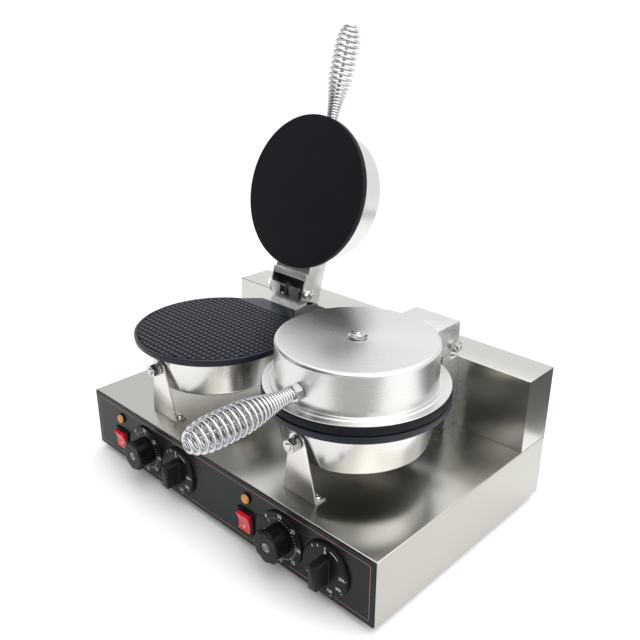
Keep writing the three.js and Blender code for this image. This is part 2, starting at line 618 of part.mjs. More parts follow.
// One iron, with its lid at an angle from closed.
function iron(side, x, angle) {
  const group = new THREE.Group();
  group.position.x = x;
  const heaterZ = PLATE_TOP - IRON.plateThickness - HEATER.rise;
  const pad = insulation(BOWL.bottomZ + 2, heaterZ - PAD.clearance, PAD.lowerRadius);
  group.add(
    piece(`lower_casing_${side}`, lowerCasing(), "stainless"),
    piece(`lower_plate_${side}`, lowerPlate(), "coated"),
    piece(`lower_heater_${side}`, heater(heaterZ), "incoloy"),
    piece(`lower_insulation_${side}`, pad, "ceramic"),
    piece(`front_bracket_${side}`, frontBracket(), "stainless"),
    piece(`bracket_bolt_${side}`, bracketBolt(), "zinc"),
    piece(`hinge_bracket_${side}`, hingeBracket(), "galvanised"),
    piece(`hinge_pin_${side}`, hingePin(), "zinc"),
    lid(side, angle),
  );
  return group;
}

// The controls of one iron.
function controls(side, x) {
  const group = new THREE.Group();
  group.position.x = x;
  group.add(
    piece(`timer_${side}`, timerBody(), "phenolic"),
    piece(`timer_dial_${side}`, timerDial(), "bakelite"),
    piece(`timer_knob_${side}`, timerKnob(), "bakelite"),
    piece(`thermostat_${side}`, thermostatBody(), "phenolic"),
    piece(`thermostat_knob_${side}`, thermostatKnob(), "bakelite"),
    piece(`switch_body_${side}`, switchBody(), "bakelite"),
    piece(`switch_rocker_${side}`, rocker(), "red"),
    piece(`indicator_lamp_${side}`, indicatorLamp(), "amber"),
  );
  return group;
}

const machine = new THREE.Group();
machine.add(
  piece("base_housing", baseHousing(), "stainless"),
  piece("bottom_cover", bottomCover(), "galvanised"),
  piece("control_panel", controlPanel(), "panel"),
  piece("rear_housing", rearHousing(), "stainless"),
  piece("cable_gland", cableGland(), "bakelite"),
  piece("terminal_block", terminalBlock(), "ceramic"),
);
const footX = BASE.width / 2 - FOOT.inset;
for (const [end, y] of [["front", FOOT.inset], ["rear", BASE.depth - FOOT.inset]]) {
  for (const [side, x] of [["left", -footX], ["right", footX]]) {
    const made = piece(`foot_${end}_${side}`, foot(), "rubber");
    made.position.set(x, y, 0);
    machine.add(made);
  }
}
machine.add(iron("left", -IRON.x, OPEN_ANGLE), iron("right", IRON.x, 0));
machine.add(controls("left", -CONTROLS_X), controls("right", CONTROLS_X));

// The part's origin is under the middle of its overall box, on the surface that it stands on.
const bounds = new THREE.Box3().setFromObject(machine, true);
const middle = bounds.getCenter(new THREE.Vector3());
machine.position.set(-middle.x, -middle.y, -bounds.min.z);
const part = new THREE.Group();
part.add(machine);

export default part;
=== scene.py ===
"""The looks of a double-head waffle cone maker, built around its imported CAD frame."""
import math

import bmesh
import bpy
from mathutils import Matrix, Vector


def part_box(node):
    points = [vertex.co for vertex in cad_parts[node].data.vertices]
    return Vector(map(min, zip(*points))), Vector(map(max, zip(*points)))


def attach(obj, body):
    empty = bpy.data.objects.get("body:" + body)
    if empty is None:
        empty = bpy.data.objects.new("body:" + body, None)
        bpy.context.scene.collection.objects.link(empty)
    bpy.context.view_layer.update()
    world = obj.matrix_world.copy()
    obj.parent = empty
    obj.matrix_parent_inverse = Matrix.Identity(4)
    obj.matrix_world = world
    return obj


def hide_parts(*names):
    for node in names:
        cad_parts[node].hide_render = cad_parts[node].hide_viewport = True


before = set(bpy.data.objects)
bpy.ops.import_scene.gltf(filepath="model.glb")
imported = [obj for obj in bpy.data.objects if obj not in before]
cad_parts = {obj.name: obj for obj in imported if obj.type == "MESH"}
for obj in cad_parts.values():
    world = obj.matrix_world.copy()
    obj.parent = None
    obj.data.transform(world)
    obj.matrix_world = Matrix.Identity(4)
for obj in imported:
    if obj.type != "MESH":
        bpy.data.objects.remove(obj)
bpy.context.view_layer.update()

# ---- dimensions in millimetres: x to the right, y from the front plate to the back, z up from the floor
MM = 0.001
FRONT_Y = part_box("base_housing")[0].y
BACK_Y = 320
DECK_Z = 91
PANEL_FACE = -1.3
IRON_X = 122
IRON_Y = 112
PLATE = {"radius": 105, "bottom": 180, "top": 189, "waffle": 100.5, "recess": 1.6}
WAFFLE = {"pitch": 7.95, "top": 5.3, "foot": 6.9}
LUG = [(-58, 84), (58, 84), (33, 112.5), (-33, 112.5)]
LID = {"bottom": 191, "top": 200, "flange": 200.3, "cover_top": 250.3, "cover": 90, "flange_radius": 104}
BOWL = {"bottom": 130, "low_radius": 83.5, "rim": 179.7, "rim_radius": 92}
SHEET = 1.2
HINGE = (248, 206)
OPEN_ANGLE = -107
BOLT_Z = 160
BRACKET_FACE = 17.6
BOLT_RADIUS = 4
BOLT_PITCH = 1.2
THREAD_BORE = 3.9  # the hole of a nut on a bolt, which the thread just fills
SCREW = (18, 31.8)
HANDLE_Z = 219
HANDLE_NUT_Y = 21.7
GRIP = {"start": 11, "length": 129, "slim": 6.2, "full": 15.5, "wire": 1.9}
ROD = {"start": 30, "length": 134, "radius": 2.6, "pitch": 1.0}
PIVOT_Y = PANEL_FACE - 0.5

SIDES = (("left", -1), ("right", 1))
FORWARD = (0, -1, 0)
PRINT = 1  # the material index of printed faces
PRINT_LIFT = 0.05  # how far printed faces stand off the surface


def place(x, y, z):
    return Vector((x * MM, y * MM + FRONT_Y, z * MM))


def middle(node):
    """The middle of a CAD node's box, in the millimetres that the dimensions above use."""
    low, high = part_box(node)
    centre = (low + high) / 2
    return centre.x / MM, (centre.y - FRONT_Y) / MM, centre.z / MM


def lid_turn(side):
    """The turn that takes a closed lid to where that lid rests."""
    if side == "right":
        return Matrix.Identity(4)
    pivot = place(0, *HINGE)
    swing = Matrix.Rotation(math.radians(OPEN_ANGLE), 4, "X")
    return Matrix.Translation(pivot) @ swing @ Matrix.Translation(-pivot)


# ---- mesh code ----
def loft(bm, rings, material=0, closed=False, caps=(True, True)):
    """Skins a row of rings. A ring whose points coincide becomes a pole."""
    made = []
    for ring in rings:
        single = (Vector(ring[0]) - Vector(ring[len(ring) // 2])).length < 1e-6
        made.append([bm.verts.new(p) for p in (ring[:1] if single else ring)])
    pairs = list(zip(made, made[1:]))
    if closed:
        pairs.append((made[-1], made[0]))
    for low, high in pairs:
        count = max(len(low), len(high))
        for k in range(count):
            first = (low[k % len(low)], low[(k + 1) % len(low)])
            last = (high[(k + 1) % len(high)], high[k % len(high)])
            corners = list(dict.fromkeys(first + last))
            if len(corners) > 2:
                bm.faces.new(corners).material_index = material
    if not closed:
        if caps[0] and len(made[0]) > 2:
            bm.faces.new(list(reversed(made[0]))).material_index = material
        if caps[1] and len(made[-1]) > 2:
            bm.faces.new(made[-1]).material_index = material


def turned(bm, profile, sides=96, material=0, closed=False, caps=(True, True)):
    """A turned surface about z: profile points are (radius, z). A radius may be a function of the angle."""
    rings = []
    for radius, z in profile:
        ring = []
        for k in range(sides):
            angle = 2 * math.pi * k / sides
            reach = radius(angle) if callable(radius) else radius
            ring.append((reach * math.cos(angle), reach * math.sin(angle), z))
        rings.append(ring)
    loft(bm, rings, material, closed, caps)


def fillet(points, size, closed=False, steps=4):
    """Rounds the corners of a flat line of points. size is one length, or one for each point."""
    rounded = []
    count = len(points)
    for i, point in enumerate(points):
        reach = size[i] if isinstance(size, (list, tuple)) else size
        if reach <= 0 or (not closed and i in (0, count - 1)):
            rounded.append(tuple(point))
            continue
        corner = Vector(point)
        back = Vector(points[i - 1]) - corner
        onward = Vector(points[(i + 1) % count]) - corner
        reach = min(reach, back.length * 0.49, onward.length * 0.49)
        first = corner + back.normalized() * reach
        last = corner + onward.normalized() * reach
        for k in range(steps + 1):
            t = k / steps
            rounded.append(tuple(first * (1 - t) ** 2 + corner * 2 * t * (1 - t) + last * t * t))
    return rounded


def prism(bm, outline, low, high):
    loft(bm, [[(x, y, z) for x, y in outline] for z in (low, high)])


def sweep(bm, path, radius, sides):
    """A tube along a path. Its radius is a function of the share of the path."""
    points = [Vector(p) for p in path]
    last = len(points) - 1
    rings = []
    normal = None
    for i, point in enumerate(points):
        tangent = (points[min(i + 1, last)] - points[max(i - 1, 0)]).normalized()
        normal = tangent.orthogonal() if normal is None else normal - tangent * normal.dot(tangent)
        normal.normalize()
        across = tangent.cross(normal)
        reach = radius(i / last)
        turns = [2 * math.pi * k / sides for k in range(sides)]
        rings.append([tuple(point + (normal * math.cos(a) + across * math.sin(a)) * reach) for a in turns])
    loft(bm, rings)


def spline(points, steps):
    """A Catmull-Rom curve through the points, with its ends held."""
    last = len(points) - 1
    curve = []
    for i in range(last):
        before, start, end, after = (Vector(points[max(0, min(last, i + k))]) for k in (-1, 0, 1, 2))
        for t in (step / steps for step in range(steps)):
            square = 2 * before - 5 * start + 4 * end - after
            cube = 3 * start - before - 3 * end + after
            curve.append(0.5 * (2 * start + (end - before) * t + square * t * t + cube * t ** 3))
    return curve + [Vector(points[-1])]


def smoothstep(value, low, high):
    t = min(1, max(0, (value - low) / (high - low)))
    return t * t * (3 - 2 * t)


def rounded_box(width, height, corner, steps=4):
    x, y = width / 2, height / 2
    return fillet([(-x, -y), (x, -y), (x, y), (-x, y)], corner, True, steps)


def level_ring(width, height, corner, z):
    return [(u, v, z) for u, v in rounded_box(width, height, corner)]


def hexagon(across, most):
    """The radius of a hexagon at an angle, no more than a limit: the limit is what a chamfer cuts off."""
    def reach(angle):
        turn = (angle + math.pi / 6) % (math.pi / 3) - math.pi / 6
        return min(across / 2 / math.cos(turn), most)
    return reach


def washer(bm, bore, radius, low, high, rounding):
    section = [(bore, low), (radius, low), (radius, high), (bore, high)]
    turned(bm, fillet(section, rounding, True, 3), 48, closed=True)


def nut(bm, across, low, high, bore, both=True):
    """A hexagon nut or bolt head, chamfered at the top or at both ends, with a bore that may be 0."""
    half = across / 2
    drop = half * 0.113
    steps = [(0, 0.96), (0.35, 1.03), (0.7, 1.09), (1, 1.16)]
    top = [(hexagon(across, half * share), high - drop * t) for t, share in steps]
    foot = [(hexagon(across, half * share), low + drop * t) for t, share in reversed(steps)]
    if not both:
        foot = [(hexagon(across, half * 1.16), low)]
    if bore > 0:
        ends = [(bore, high - 0.6), (bore + 0.6, high)]
        turned(bm, [(bore, low)] + ends + top + foot, 48, closed=True)
    else:
        turned(bm, [(0, high)] + top + foot + [(0, low)], 48)


def thread(bm, radius, low, high, pitch):
    """A threaded rod: ridges one pitch apart."""
    profile = [(0, low), (radius - 0.5, low)]
    z = low + 0.3
    while z < high - 0.5:
        profile += [(radius, z), (radius - 0.32, z + pitch / 2)]
        z += pitch
    turned(bm, profile + [(radius - 0.6, high), (0, high)], 20)


def lettering(bm, text, size, at, z, angle=0.0):
    """Numbers as thin printed faces, centred on a point and turned about it."""
    curve = bpy.data.curves.new("numerals", "FONT")
    curve.body = text
    curve.size = size
    curve.align_x = "CENTER"
    curve.align_y = "CENTER"
    curve.resolution_u = 3
    holder = bpy.data.objects.new("numerals", curve)
    mesh = holder.to_mesh()
    mesh.transform(Matrix.Translation((at[0], at[1], z)) @ Matrix.Rotation(angle, 4, "Z"))
    start = len(bm.faces)
    bm.from_mesh(mesh)
    bm.faces.ensure_lookup_table()
    for face in bm.faces[start:]:
        face.material_index = PRINT
    holder.to_mesh_clear()
    bpy.data.objects.remove(holder)
    bpy.data.curves.remove(curve)


def mark(bm, start, end, width, z):
    """A thin printed line from one point to another."""
    line = Vector(end) - Vector(start)
    side = Vector((-line.y, line.x)).normalized() * width / 2
    corners = [Vector(start) + side, Vector(start) - side, Vector(end) - side, Vector(end) + side]
    bm.faces.new([bm.verts.new((c.x, c.y, z)) for c in corners]).material_index = PRINT


def clock(radius, degrees):
    """A point on a dial, at an angle clockwise from the top."""
    angle = math.radians(degrees)
    return radius * math.sin(angle), radius * math.cos(angle)


def printed_ring(bm, outer, inner):
    """Printed faces between two closed rows of vertices."""
    for k in range(len(outer)):
        corners = (outer[k - 1], outer[k], inner[k], inner[k - 1])
        bm.faces.new(corners).material_index = PRINT


def printed_dot(bm, centre, radius, z):
    corners = [clock(radius, 45 * k) for k in range(8)]
    made = [bm.verts.new((centre[0] + u, centre[1] + v, z)) for u, v in corners]
    bm.faces.new(made).material_index = PRINT


def printed_arc(bm, radius, start, end, width, z):
    steps = 16
    inner, outer = [], []
    for k in range(steps + 1):
        degrees = start + (end - start) * k / steps
        inner.append(bm.verts.new((*clock(radius - width / 2, degrees), z)))
        outer.append(bm.verts.new((*clock(radius + width / 2, degrees), z)))
    for k in range(steps):
        corners = (inner[k], inner[k + 1], outer[k + 1], outer[k])
        bm.faces.new(corners).material_index = PRINT


def piece(name, bm, looks, body, at=(0, 0, 0), axis=(0, 0, 1), turn=None, bevel=0, stands_for=(),
          sharp=32):
    """Makes a finished object of a mesh in millimetres, whose own z axis is laid along axis.

    turn swings it with an open lid, bevel rounds its edges, and edges sharper than sharp degrees stay crisp.
    """
    bmesh.ops.recalc_face_normals(bm, faces=bm.faces)
    bmesh.ops.scale(bm, vec=(MM, MM, MM), verts=bm.verts)
    mesh = bpy.data.meshes.new(name)
    bm.to_mesh(mesh)
    bm.free()
    for look in looks:
        mesh.materials.append(look)
    mesh.polygons.foreach_set("use_smooth", [True] * len(mesh.polygons))
    mesh.set_sharp_from_angle(angle=math.radians(sharp))
    obj = bpy.data.objects.new(name, mesh)
    bpy.context.scene.collection.objects.link(obj)
    face = Vector((0, 0, 1)).rotation_difference(Vector(axis)).to_matrix().to_4x4()
    obj.matrix_world = (turn or Matrix.Identity(4)) @ Matrix.Translation(place(*at)) @ face
    if bevel:
        edges = obj.modifiers.new("rounded_edges", "BEVEL")
        edges.width = bevel * MM
        edges.segments = 3
        edges.limit_method = "ANGLE"
        edges.angle_limit = math.radians(30)
        edges.harden_normals = True
    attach(obj, body)
    if stands_for:
        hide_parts(*stands_for)
    return obj


def folded(node, looks, body, rounding, least, turn=None, skip_below=0):
    """A copy of a sheet-metal CAD node. Outer edges at least that long are rounded like bent sheet."""
    bm = bmesh.new()
    bm.from_mesh(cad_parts[node].data)
    bmesh.ops.remove_doubles(bm, verts=bm.verts, dist=1e-6)
    back = Matrix.Scale(1 / MM, 4) @ Matrix.Translation((0, -FRONT_Y, 0))
    bm.transform(back @ (turn.inverted() if turn else Matrix.Identity(4)))
    bmesh.ops.dissolve_limit(bm, angle_limit=math.radians(1), verts=bm.verts, edges=bm.edges)
    bm.normal_update()
    chosen = []
    for edge in bm.edges:
        if len(edge.link_faces) != 2 or not edge.is_convex:
            continue
        low = min(v.co.z for v in edge.verts)
        if edge.calc_length() < least or low < skip_below:
            continue
        if edge.calc_face_angle() > math.radians(40):
            chosen.append(edge)
    bmesh.ops.bevel(bm, geom=chosen, offset=rounding, segments=3, profile=0.5, affect="EDGES",
                    clamp_overlap=True)
    return piece(node + "_sheet", bm, looks, body, turn=turn, stands_for=(node,))


def shade_flat(obj, least):
    """Shades faces over least square millimetres flat, so that the bends beside them don't dent them."""
    for face in obj.data.polygons:
        if face.area > least * MM * MM:
            face.use_smooth = False


# ---- materials ----
class Look:
    """A material: a Principled shader with procedural detail wired into it."""

    def __init__(self, name, color, roughness, metallic=0.0, **sockets):
        self.material = bpy.data.materials.new(name)
        self.material.use_nodes = True
        self.tree = self.material.node_tree
        self.shader = self.tree.nodes["Principled BSDF"]
        self.color = color
        self.set("Base Color", (*color, 1))
        self.set("Roughness", roughness)
        self.set("Metallic", metallic)
        for socket, value in sockets.items():
            self.set(socket.replace("_", " "), value)

    def set(self, socket, value):
        if isinstance(value, bpy.types.NodeSocket):
            self.tree.links.new(value, self.shader.inputs[socket])
        else:
            self.shader.inputs[socket].default_value = value

    def node(self, kind, inputs=(), settings=(), output=0):
        made = self.tree.nodes.new("ShaderNode" + kind)
        for key, value in dict(settings).items():
            setattr(made, key, value)
        for key, value in dict(inputs).items():
            if isinstance(value, bpy.types.NodeSocket):
                self.tree.links.new(value, made.inputs[key])
            else:
                made.inputs[key].default_value = value
        return made.outputs[output]

    def position(self):
        return self.node("TexCoord", output="Object")

    def stretched(self, scale):
        return self.node("VectorMath", {0: self.position(), 1: scale}, {"operation": "MULTIPLY"})

    def noise(self, vector, scale=1.0, detail=2.0, rough=0.5):
        inputs = {"Vector": vector, "Scale": scale, "Detail": detail, "Roughness": rough}
        return self.node("TexNoise", inputs)

    def spread(self, value, low, high, start=0.3, end=0.7):
        inputs = {"Value": value, "From Min": start, "From Max": end, "To Min": low, "To Max": high}
        return self.node("MapRange", inputs)

    def tint(self, value, shade):
        """The colour varied between a darker shade of itself and itself."""
        inputs = {0: value, 6: (*[c * shade for c in self.color], 1), 7: (*self.color, 1)}
        self.set("Base Color", self.node("Mix", inputs, {"data_type": "RGBA"}, output=2))

    def bump(self, height, strength, distance):
        inputs = {"Height": height, "Strength": strength, "Distance": distance}
        self.set("Normal", self.node("Bump", inputs))


GRAIN_STRETCH = 14  # noise cells in a metre along a brushed sheet's grain
GRAIN_FINE = 2300  # and across it
SPUN_FINE = 2600.0  # noise cells in a metre across a spun piece's rings


def sheet_steel(name, color, rough=(0.19, 0.22), grain=0.5, shade=0.99):
    """Brushed sheet: the grain runs level along each face."""
    look = Look(name, color, 0.3, 1.0, Anisotropic=grain)
    normal = look.node("TexCoord", output="Normal")
    level = look.node("VectorMath", {0: normal, 1: (0, 0.05, 1)}, {"operation": "CROSS_PRODUCT"})
    to_world = {"convert_from": "OBJECT", "convert_to": "WORLD"}
    look.set("Tangent", look.node("VectorTransform", {"Vector": level}, to_world))
    parts = look.node("SeparateXYZ", {"Vector": normal})
    facing = look.node("Math", {0: parts}, {"operation": "ABSOLUTE"})
    along_x = look.noise(look.stretched((GRAIN_STRETCH, GRAIN_FINE, GRAIN_FINE)), detail=3)
    along_y = look.noise(look.stretched((GRAIN_FINE, GRAIN_STRETCH, GRAIN_FINE)), detail=3)
    lines = look.node("Mix", {0: facing, 2: along_x, 3: along_y})
    clouds = look.noise(look.position(), 7, 3)
    look.set("Roughness", look.spread(look.node("Mix", {0: 0.7, 2: lines, 3: clouds}), *rough))
    look.tint(look.spread(lines, 0, 1), shade)
    look.bump(lines, 0.006, 0.0001)
    return look.material


def spun_steel(name, color, rough, grain, shade=0.99):
    """Steel spun and brushed about the piece's own z axis."""
    look = Look(name, color, 0.3, 1.0, Anisotropic=grain)
    look.set("Tangent", look.node("Tangent", settings={"direction_type": "RADIAL", "axis": "Z"}))
    flat = look.stretched((1, 1, 0))
    radius = look.node("VectorMath", {0: flat}, {"operation": "LENGTH"}, output="Value")
    height = look.node("SeparateXYZ", {"Vector": look.position()}, output="Z")
    slow = look.noise(look.position(), 12, 2)
    multiply = {"operation": "MULTIPLY"}
    rings = {
        "X": look.node("Math", {0: radius, 1: SPUN_FINE}, multiply),
        "Y": look.node("Math", {0: height, 1: SPUN_FINE}, multiply),
        "Z": slow,
    }
    lines = look.noise(look.node("CombineXYZ", rings), detail=3)
    look.set("Roughness", look.spread(look.node("Mix", {0: 0.75, 2: lines, 3: slow}), *rough))
    look.tint(look.spread(lines, 0, 1), shade)
    look.bump(lines, 0.003, 0.0001)
    return look.material


def plated(name, color, rough, spangle=0.0, shade=0.85):
    """Zinc or chrome plating: cloudy roughness, with crystal patches where spangle is set."""
    look = Look(name, color, rough, 1.0)
    clouds = look.noise(look.position(), 90, 4)
    if spangle:
        shifted = look.node("VectorMath", {0: look.position(), 1: clouds}, {"operation": "ADD"})
        cells = look.node("TexVoronoi", {"Vector": look.position(), "Scale": 130.0}, output="Color")
        grey = look.node("SeparateXYZ", {"Vector": cells})
        look.set("Roughness", look.spread(grey, rough * 0.9, rough * 1.12, 0, 1))
        look.tint(look.spread(look.noise(shifted, 40, 2), 0, 1), shade)
        look.bump(grey, spangle, 0.00005)
    else:
        look.set("Roughness", look.spread(clouds, rough * 0.6, rough * 1.5))
        look.tint(look.spread(clouds, 0, 1), shade)
        look.bump(clouds, 0.02, 0.00005)
    return look.material


def moulded(name, color, rough=0.42, grain=900, strength=0.12, shade=0.7, **sockets):
    """Plastic, rubber or coating: a fine moulded texture with slight colour and gloss variation."""
    look = Look(name, color, rough, 0.0, **sockets)
    fine = look.noise(look.position(), grain, 3, 0.6)
    clouds = look.noise(look.position(), 35, 3)
    both = look.node("Mix", {0: 0.5, 2: fine, 3: clouds})
    look.set("Roughness", look.spread(both, rough * 0.85, rough * 1.15))
    look.tint(look.spread(clouds, 0, 1), shade)
    look.bump(fine, strength, 0.0001)
    return look.material


def fibrous(name, color, rough, scale, strength, shade, metallic=0.0):
    """Fibres that run along z, or the drawn surface of a sheath."""
    look = Look(name, color, rough, metallic)
    fibres = look.noise(look.stretched((scale, scale, scale * 0.25)), detail=5, rough=0.7)
    look.set("Roughness", look.spread(fibres, rough * 0.9, min(1, rough * 1.1)))
    look.tint(look.spread(fibres, 0, 1), shade)
    look.bump(fibres, strength, 0.0004)
    return look.material


STAINLESS = sheet_steel("brushed_stainless", (0.56, 0.55, 0.52))
HOUSING = sheet_steel("brushed_housing_steel", (0.447, 0.434, 0.4), (0.215, 0.245))
ARM_STEEL = sheet_steel("brushed_arm_steel", (0.64, 0.635, 0.615), (0.27, 0.31), 0.4)
BRACKET_STEEL = sheet_steel("brushed_bracket_steel", (0.74, 0.72, 0.69), (0.25, 0.29), 0.4)
SPUN = spun_steel("spun_stainless", (0.72, 0.71, 0.69), (0.185, 0.2), 0.4)
SPUN_LID = spun_steel("spun_lid_stainless", (0.65, 0.645, 0.63), (0.265, 0.28), 0.62)
GALVANISED = plated("galvanised_sheet", (0.6, 0.62, 0.615), 0.28, 0.008)
ZINC = plated("zinc_plated_steel", (0.6, 0.59, 0.57), 0.16)
CHROME = plated("chrome_plated_steel", (0.6, 0.61, 0.63), 0.07, shade=0.8)


def dark(name, color, rough, grain, strength, shade, specular):
    return moulded(name, color, rough, grain, strength, shade, Specular_IOR_Level=specular)


COATED = dark("black_nonstick_coating", (0.010, 0.0128, 0.0215), 0.34, 1500, 0.25, 0.75, 0.27)
LID_COATED = dark("black_lid_coating", (0.0065, 0.0075, 0.0105), 0.5, 1500, 0.25, 0.8, 0.12)
PANEL_FILM = dark("black_panel_film", (0.009, 0.0115, 0.013), 0.26, 2200, 0.05, 0.85, 0.17)
BAKELITE = dark("black_bakelite", (0.0055, 0.0065, 0.0078), 0.32, 1200, 0.1, 0.8, 0.14)
BLACK_PLASTIC = dark("black_plastic", (0.006, 0.0065, 0.0075), 0.36, 1200, 0.1, 0.7, 0.14)
RED = moulded("red_rocker_plastic", (0.66, 0.009, 0.022), 0.26, 700, 0.04, 0.85, Coat_Weight=0.2)
AMBER = moulded("amber_lens", (0.88, 0.37, 0.05), 0.18, 300, 0.15, 0.6, Transmission_Weight=0.15, IOR=1.49)
RUBBER = moulded("black_rubber", (0.02, 0.02, 0.021), 0.75, 700, 0.3)
PHENOLIC = moulded("brown_phenolic", (0.05, 0.03, 0.02), 0.5, 500, 0.25)
CERAMIC = moulded("white_ceramic", (0.8, 0.77, 0.7), 0.35, 260, 0.15, 0.93)
WHITE_PRINT = moulded("white_print", (0.9, 0.91, 0.92), 0.5, 1500, 0.03, 0.85)
ORANGE_PRINT = moulded("copper_print", (0.42, 0.19, 0.1), 0.4, 1500, 0.03, 0.8)
SHEATH = fibrous("heat_darkened_sheath", (0.16, 0.14, 0.12), 0.42, 900, 0.2, 0.6, 0.9)
FIBRE = fibrous("ceramic_fibre", (0.85, 0.82, 0.75), 0.95, 700, 0.9, 0.85)

# ---- the camera and the light ----
camera = bpy.data.objects.new("camera", bpy.data.cameras.new("camera"))
bpy.context.scene.collection.objects.link(camera)
camera.data.sensor_width = 36
camera.data.lens = 42.36
camera.data.clip_start = 0.01
camera.data.clip_end = 200
CAMERA_AT = (0.60175, FRONT_Y - 0.44816, 0.5809)
forward = Vector((-0.6365, 0.6657, -0.3895)).normalized()
right = Vector((0.7228, 0.6911, 0)).normalized()
up = right.cross(forward)
roll = math.radians(0.28)
right, up = right * math.cos(roll) + up * math.sin(roll), up * math.cos(roll) - right * math.sin(roll)
camera.matrix_world = Matrix.Translation(CAMERA_AT) @ Matrix((right, up, -forward)).transposed().to_4x4()
bpy.context.scene.camera = camera
bpy.context.scene.view_settings.view_transform = "Standard"


def softbox(name, at, target, size, power):
    light = bpy.data.lights.new(name, "AREA")
    light.shape = "RECTANGLE"
    light.size, light.size_y = size
    light.energy = power
    holder = bpy.data.objects.new(name, light)
    bpy.context.scene.collection.objects.link(holder)
    holder.location = at
    holder.rotation_euler = (Vector(target) - Vector(at)).to_track_quat("-Z", "Y").to_euler()


softbox("overhead_softbox", (0.2, 0.2, 2.4), (0, 0, 0), (1.8, 1.8), 9)
softbox("right_softbox", (1.9, -0.2, 1.2), (0.35, -0.05, 0), (2.2, 2.2), 20)
softbox("front_top_softbox", (1.0, -1.0, 2.0), (0, 0, 0.1), (1.8, 1.8), 9)
softbox("left_softbox", (-1.9, -1.4, 1.5), (0, 0, 0.2), (0.5, 1.4), 6)


def studio_world():
    """A pale studio, brightest overhead. Only reflections see its dark side, in front on the left."""
    world = bpy.data.worlds.new("studio")
    bpy.context.scene.world = world
    world.use_nodes = True
    tree = world.node_tree
    background = tree.nodes["Background"]
    direction = tree.nodes.new("ShaderNodeTexCoord").outputs["Generated"]
    light = None
    # direction, cosines where the change starts and ends, and the light before and after it
    zones = (
        ((0, 0, 1), 0.45, 0.9, 1.1, 1.85),
        ((-0.62, -0.7, 0.35), 0.42, 0.86, 1.0, 0.04),
        ((0.75, -0.6, 0.1), 0.7, 0.95, 1.0, 0.4),
    )
    for aim, start, end, before, after in zones:
        dot = tree.nodes.new("ShaderNodeVectorMath")
        dot.operation = "DOT_PRODUCT"
        tree.links.new(direction, dot.inputs[0])
        dot.inputs[1].default_value = Vector(aim).normalized()
        share = tree.nodes.new("ShaderNodeMapRange")
        share.interpolation_type = "SMOOTHSTEP"
        tree.links.new(dot.outputs["Value"], share.inputs["Value"])
        for key, value in zip(("From Min", "From Max", "To Min", "To Max"), (start, end, before, after)):
            share.inputs[key].default_value = value
        if light is None:
            light = share.outputs[0]
        else:
            both = tree.nodes.new("ShaderNodeMath")
            both.operation = "MULTIPLY"
            tree.links.new(light, both.inputs[0])
            tree.links.new(share.outputs[0], both.inputs[1])
            light = both.outputs[0]
    tree.links.new(light, background.inputs["Strength"])
    background.inputs["Color"].default_value = (0.985, 0.99, 1, 1)
    backdrop = tree.nodes.new("ShaderNodeBackground")
    backdrop.inputs["Color"].default_value = (1, 1, 1, 1)
    backdrop.inputs["Strength"].default_value = 1.1
    seen = tree.nodes.new("ShaderNodeLightPath").outputs["Is Camera Ray"]
    chosen = tree.nodes.new("ShaderNodeMixShader")
    for socket, source in zip(chosen.inputs, (seen, background.outputs[0], backdrop.outputs[0])):
        tree.links.new(source, socket)
    tree.links.new(chosen.outputs[0], tree.nodes["World Output"].inputs["Surface"])


studio_world()


def studio_floor():
    bm = bmesh.new()
    steps = (0, 0.6, 1.2, 2.5, 5, 10, 20, 40, 80)
    turned(bm, [(radius / MM, 0) for radius in steps], 64, caps=(False, False))
    bmesh.ops.scale(bm, vec=(MM, MM, MM), verts=bm.verts)
    mesh = bpy.data.meshes.new("studio_floor")
    bm.to_mesh(mesh)
    bm.free()
    look = Look("pale_floor", (0.93, 0.93, 0.925), 0.7)
    look.tint(look.spread(look.noise(look.position(), 3, 4), 0, 1), 0.985)
    mesh.materials.append(look.material)
    floor = bpy.data.objects.new("studio_floor", mesh)
    bpy.context.scene.collection.objects.link(floor)


studio_floor()


def flag(name, low, high, shade):
    """A card on the floor that only reflections see, as a studio's black flag stays out of the picture."""
    corners = [(low[0], low[1]), (high[0], low[1]), (high[0], high[1]), (low[0], high[1])]
    mesh = bpy.data.meshes.new(name)
    bm = bmesh.new()
    bm.faces.new([bm.verts.new(place(x, y, 1)) for x, y in corners])
    bm.to_mesh(mesh)
    bm.free()
    look = Look(name, (shade, shade, shade * 0.96), 0.9, Specular_IOR_Level=0.0)
    look.tint(look.noise(look.position(), 6, 3), 0.8)
    mesh.materials.append(look.material)
    card = bpy.data.objects.new(name, mesh)
    bpy.context.scene.collection.objects.link(card)
    card.visible_camera = card.visible_diffuse = card.visible_shadow = False


flag("rear_right_flag", (316, 452), (700, 1000), 0.09)
flag("front_right_flag", (230, -1500), (1400, -90), 0.4)

# ---- the base ----
folded("base_housing", [HOUSING], "base", 1.1, least=60, skip_below=12)
folded("rear_housing", [STAINLESS], "base", 0.9, least=50, skip_below=92)


